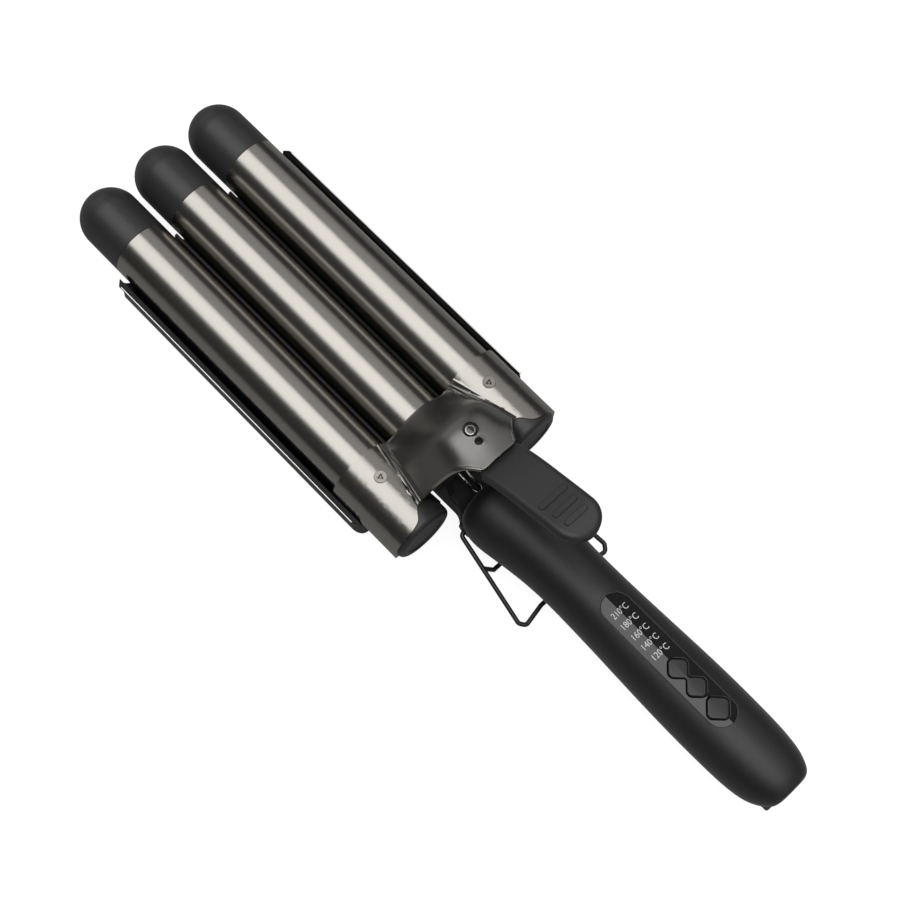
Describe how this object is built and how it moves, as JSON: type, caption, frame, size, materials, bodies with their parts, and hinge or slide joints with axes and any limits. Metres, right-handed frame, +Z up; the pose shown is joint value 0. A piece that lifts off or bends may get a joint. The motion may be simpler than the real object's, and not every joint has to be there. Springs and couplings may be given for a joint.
{
  "type": "three-barrel hair waver",
  "caption": "Clamp-type hair waver: parallel heated barrels over a wave plate, thumb lever, slim handle with key panel and a folding wire stand.",
  "frame": {"origin": "centre of the bounding box's bottom face, under the middle of the closed tool lying flat", "axes": "+Y from the handle to the barrels' tips, +Z up through the lever, +X to the right; the tool is symmetric about the YZ plane"},
  "size_m": [0.0902, 0.352, 0.0743],
  "materials": {
    "barrel_metal": "warm titanium coating, glossy",
    "hood_metal": "gunmetal coating, glossy",
    "cap_plastic": "matte charcoal",
    "plug_plastic": "matte black",
    "handle_soft": "soft-touch black",
    "lever_plastic": "satin dark grey",
    "plate_gloss": "gloss black",
    "panel_gloss": "gloss black",
    "key_plastic": "semi-gloss black",
    "bright_metal": "polished",
    "screw_metal": "satin",
    "wire_black": "satin black",
    "aluminium": "extruded",
    "ceramic": "sintered",
    "board": "solder mask",
    "clear_plastic": "clear"
  },
  "bodies": {
    "handle": {"handle_upper_shell": "handle_soft", "handle_lower_shell": "handle_soft", "handle_screws": "screw_metal", "control_panel": "panel_gloss", "circuit_board": "board", "tact_switches": "plug_plastic", "indicator_lamps": "ceramic", "light_guide": "clear_plastic", "stand_bushes": "plug_plastic", "neck_block": "plug_plastic", "neck_screws": "screw_metal", "hinge_pin": "bright_metal", "pin_clips": "screw_metal", "torsion_spring": "bright_metal", "lower_cover": "plug_plastic", "lower_cover_screws": "screw_metal", "lower_wave_plate": "plate_gloss", "heater_strips": "ceramic", "heater_clamps": "aluminium"},
    "upper_jaw": {"centre_barrel": "barrel_metal", "outer_barrels": "barrel_metal", "tip_caps": "cap_plastic", "end_plugs": "plug_plastic", "heater_cores": "aluminium", "ptc_strips": "ceramic", "thermal_fuse": "ceramic", "jaw_saddle": "hood_metal", "jacket_screws": "screw_metal", "hinge_bracket": "plug_plastic", "thumb_lever": "lever_plastic", "hood_screw": "bright_metal"},
    "adjust_rocker": {"adjust_key": "key_plastic"},
    "power_button": {"power_key": "key_plastic"},
    "stand": {"wire_stand": "wire_black", "stand_brace": "wire_black"},
    "cord_swivel": {"cord_gland": "plug_plastic"}
  },
  "joints": [
    {"name": "jaw_hinge", "type": "hinge", "parent": "handle", "child": "upper_jaw", "pos_m": [0, -0.0025, 0.0202], "axis": [1, 0, 0], "range_deg": [0, 27], "stiffness_Nm_per_rad": 0.6, "springref_deg": -28.65, "deforming": ["torsion_spring"]},
    {"name": "adjust_rock", "type": "hinge", "parent": "handle", "child": "adjust_rocker", "pos_m": [0, -0.122, 0.0283], "axis": [1, 0, 0], "range_deg": [-3, 3], "stiffness_Nm_per_rad": 0.1},
    {"name": "power_press", "type": "slide", "parent": "handle", "child": "power_button", "axis": [0, 0, -1], "range_m": [0, 0.0005], "stiffness_N_per_m": 800},
    {"name": "stand_fold", "type": "hinge", "parent": "handle", "child": "stand", "pos_m": [0, -0.0245, 0.0142], "axis": [1, 0, 0], "range_deg": [0, 85]},
    {"name": "cord_turn", "type": "hinge", "parent": "handle", "child": "cord_swivel", "pos_m": [0, -0.1642, 0.0158], "axis": [0, 1, 0], "continuous": true}
  ]
}
